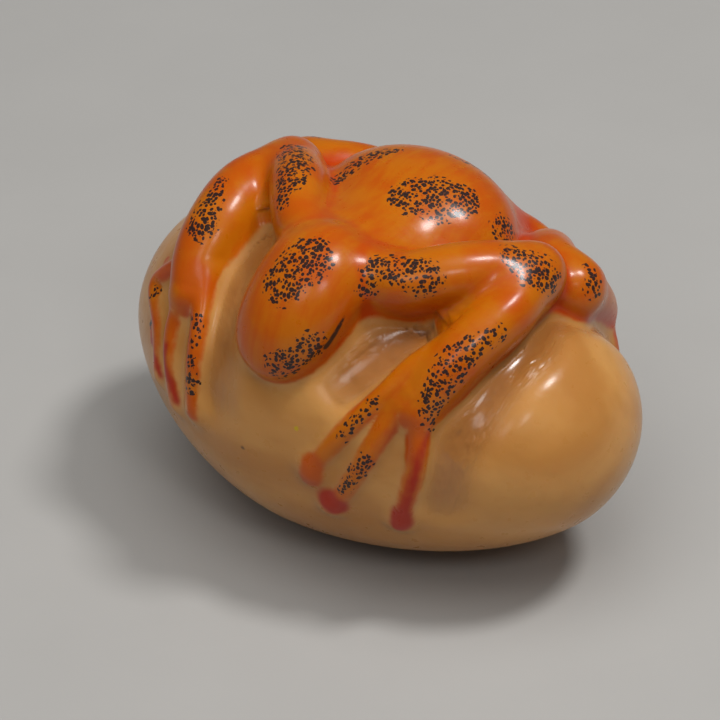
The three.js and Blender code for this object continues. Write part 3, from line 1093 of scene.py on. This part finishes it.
def floor_material(stage):
    material, work, shader = new_material("pale_floor")
    place = work.add("ShaderNodeTexCoord").outputs["Object"]
    grain = work.pattern("grain", place)
    dark = tuple(part * FLOOR_DARK for part in stage.floor_color)
    work.feed(shader["Base Color"], work.mix(grain, (*dark, 1), (*stage.floor_color, 1)))
    work.feed(shader["Roughness"], work.math("ADD", work.share("grain", grain), FLOOR_ROUGHNESS))
    bump = work.add("ShaderNodeBump", {"Height": grain, "Strength": FLOOR_BUMP, "Distance": MM})
    work.feed(shader["Normal"], bump.outputs[0])
    return material


# Sizes and colours that a user would change


def number_property(label, description, default, **more):
    return bpy.props.FloatProperty(name=label, description=description, default=default, **more)


def color_property(label, description, default):
    return bpy.props.FloatVectorProperty(
        name=label, description=description, subtype="COLOR", size=3, min=0, max=1, default=default
    )


class CarvingSettings(bpy.types.PropertyGroup):
    cuts: bpy.props.IntProperty(
        name="Face cuts", description="Cuts across each edge of the solid's faces", default=3, min=1, max=3
    )
    mark_depth: number_property(
        "Mark depth", "How deep the gouge marks in the hollows are", 0.25 * MM, unit="LENGTH"
    )
    marks: number_property("Marks", "Gouge marks to a millimetre across a hollow", 0.55)
    mark_stretch: number_property("Mark stretch", "Width of a gouge mark as a share of its length", 0.22)


class PaintSettings(bpy.types.PropertyGroup):
    cream: color_property("Cream", "The light part of the nut's skin", (0.56, 0.27, 0.075))
    tan: color_property("Tan", "The brown waves in the nut's skin", (0.44, 0.185, 0.042))
    # the darker brown that is painted as shade in the hollows
    hollow_shade: color_property("Hollow shade", "The nut where it is cut deep", (0.31, 0.115, 0.026))
    amber: color_property("Amber", "The stain where it is thin", (0.48, 0.125, 0.002))
    orange: color_property("Orange", "The stain where it is full", (0.46, 0.078, 0.001))
    red: color_property("Red", "The stain brushed along edges and creases", (0.46, 0.04, 0.001))
    toe_red: color_property("Toe red", "The stain on the pads of the toes", (0.36, 0.018, 0.0003))
    yellow: color_property("Yellow", "A stray dot of paint", (0.5, 0.33, 0.01))
    ink: color_property("Ink", "The pen's ink", (0.012, 0.011, 0.013))
    dot_spacing: number_property("Dot spacing", "Between pen dots, in millimetres", 0.36, min=0.1)
    dot_size: number_property("Dot size", "Radius of a pen dot, in millimetres", 0.18, min=0.01)
    glow: number_property("Glow", "Share of the light that goes into the nut", 0.2, subtype="FACTOR")
    varnish: number_property("Varnish", "Weight of the varnish coat", 0.22, subtype="FACTOR")


class StageSettings(bpy.types.PropertyGroup):
    azimuth: number_property(
        "Azimuth", "Of the camera, 0 looks along +Y", math.radians(38), subtype="ANGLE"
    )
    elevation: number_property("Elevation", "Of the camera", math.radians(35), subtype="ANGLE")
    distance: number_property("Distance", "From the camera to the nut", 0.35, unit="LENGTH")
    floor_color: color_property("Floor", "The pale floor", (0.4, 0.388, 0.368))
    ambient: number_property("Ambient", "Light from all around", 0.1)


# Operators


class OBJECT_OT_carve_frog_nut(bpy.types.Operator):
    """Carve the nut with its frog as one fine skin, with the fields that its finishes follow"""

    bl_idname = "object.carve_frog_nut"
    bl_label = "Carve the nut"

    def execute(self, context):
        sizes = context.scene.frog_nut_carving
        mesh = fine_skin(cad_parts[NUT_NODE], sizes.cuts)
        points = settled(corners_of(mesh), edges_of(mesh))
        mesh.vertices.foreach_set("co", (points * MM).ravel())
        mesh.update()
        store_fields(mesh, paint_fields(points, outward(points, carving(points))))
        mesh.shade_smooth()
        nut = bpy.data.objects.new("carved_nut", mesh)
        context.scene.collection.objects.link(nut)
        finish = nut_material(context.scene.frog_nut_paint)
        values = {
            "Depth": sizes.mark_depth,
            "Marks": sizes.marks,
            "Stretch": sizes.mark_stretch,
            "Material": finish,
        }
        with_modifier(nut, gouge_tree(), values)
        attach(nut, "root")
        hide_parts(NUT_NODE)
        return {"FINISHED"}


# The stage, in metres and pixels of the square picture
PICTURE = 720
NUT_MIDDLE_PIXEL = (370.0, 354.7)
MM_PER_PIXEL = 0.08935
SENSOR = 36.0
NEAREST_SEEN = 0.01
FLOOR_SIZE = 4.0
FLOOR_SEGMENTS = 8
SKY_COLOR = (0.95, 0.97, 1.0)

# Each light's azimuth and elevation in degrees, distance and size in metres, and power in watts
LIGHTS = {
    "key": (120, 66, 0.55, 0.11, 1.6),
    "lamp": (57, 44, 0.55, 0.11, 0.3),
    "side": (20, 44, 0.55, 0.16, 0.2),
    "window": (10, 78, 0.7, 0.7, 2.8),
    "front": (-15, 38, 0.8, 0.5, 0.3),
}
SEEN_IN_VARNISH = ("key", "lamp", "side")


def from_angles(azimuth, elevation):
    """The way from the nut towards what stands at these angles."""
    flat = math.cos(elevation)
    return Vector((math.sin(azimuth) * flat, -math.cos(azimuth) * flat, math.sin(elevation)))


def aimed(item, place, target):
    item.location = place
    item.rotation_euler = (target - place).to_track_quat("-Z", "Y").to_euler()
    bpy.context.scene.collection.objects.link(item)


class SCENE_OT_set_frog_nut_stage(bpy.types.Operator):
    """Set the camera at the photograph's angle, the pale floor and the studio lights"""

    bl_idname = "scene.set_frog_nut_stage"
    bl_label = "Set the stage"

    def execute(self, context):
        stage = context.scene.frog_nut_stage
        middle = Vector(CENTRE) * MM
        back = from_angles(stage.azimuth, stage.elevation)
        right = Vector((math.cos(stage.azimuth), math.sin(stage.azimuth), 0))
        up = back.cross(right)
        step = MM_PER_PIXEL * MM
        across = (NUT_MIDDLE_PIXEL[0] - PICTURE / 2) * step
        down = (NUT_MIDDLE_PIXEL[1] - PICTURE / 2) * step
        target = middle - right * across + up * down
        camera = bpy.data.objects.new("camera", bpy.data.cameras.new("camera"))
        camera.data.sensor_width = SENSOR
        camera.data.lens = stage.distance / (PICTURE * step) * SENSOR
        camera.data.clip_start = NEAREST_SEEN
        aimed(camera, target + back * stage.distance, target)
        context.scene.camera = camera
        for name, (azimuth, elevation, distance, size, power) in LIGHTS.items():
            data = bpy.data.lights.new(name, "AREA")
            data.shape = "DISK"
            data.size = size
            data.energy = power
            way = from_angles(math.radians(azimuth), math.radians(elevation))
            light = bpy.data.objects.new(name, data)
            light.visible_glossy = name in SEEN_IN_VARNISH
            aimed(light, middle + way * distance, middle)
        self.lay_floor(context, stage)
        world = bpy.data.worlds.new("studio")
        world.use_nodes = True
        background = world.node_tree.nodes["Background"].inputs
        background["Color"].default_value = (*SKY_COLOR, 1)
        background["Strength"].default_value = stage.ambient
        context.scene.world = world
        context.scene.view_settings.view_transform = "Standard"
        return {"FINISHED"}

    def lay_floor(self, context, stage):
        work = bmesh.new()
        segments = {"x_segments": FLOOR_SEGMENTS, "y_segments": FLOOR_SEGMENTS}
        bmesh.ops.create_grid(work, **segments, size=FLOOR_SIZE / 2)
        mesh = bpy.data.meshes.new("floor")
        work.to_mesh(mesh)
        work.free()
        mesh.materials.append(floor_material(stage))
        floor = bpy.data.objects.new("floor", mesh)
        context.scene.collection.objects.link(floor)


class VIEW3D_PT_frog_nut(bpy.types.Panel):
    """The carved nut's steps and settings"""

    bl_label = "Carved nut"
    bl_idname = "VIEW3D_PT_frog_nut"
    bl_space_type = "VIEW_3D"
    bl_region_type = "UI"
    bl_category = "Carved nut"

    def draw(self, context):
        for operator in (OBJECT_OT_carve_frog_nut, SCENE_OT_set_frog_nut_stage):
            self.layout.operator(operator.bl_idname)
        for name in ("frog_nut_carving", "frog_nut_paint", "frog_nut_stage"):
            box = self.layout.box()
            settings = getattr(context.scene, name)
            for key in settings.bl_rna.properties.keys():
                if key not in {"rna_type", "name"}:
                    box.prop(settings, key)


CLASSES = (
    CarvingSettings,
    PaintSettings,
    StageSettings,
    OBJECT_OT_carve_frog_nut,
    SCENE_OT_set_frog_nut_stage,
    VIEW3D_PT_frog_nut,
)


def register():
    for each in CLASSES:
        bpy.utils.register_class(each)
    bpy.types.Scene.frog_nut_carving = bpy.props.PointerProperty(type=CarvingSettings)
    bpy.types.Scene.frog_nut_paint = bpy.props.PointerProperty(type=PaintSettings)
    bpy.types.Scene.frog_nut_stage = bpy.props.PointerProperty(type=StageSettings)


def unregister():
    del bpy.types.Scene.frog_nut_stage
    del bpy.types.Scene.frog_nut_paint
    del bpy.types.Scene.frog_nut_carving
    for each in reversed(CLASSES):
        bpy.utils.unregister_class(each)


def main():
    register()
    bpy.ops.object.carve_frog_nut()
    bpy.ops.scene.set_frog_nut_stage()


if __name__ == "__main__":
    main()
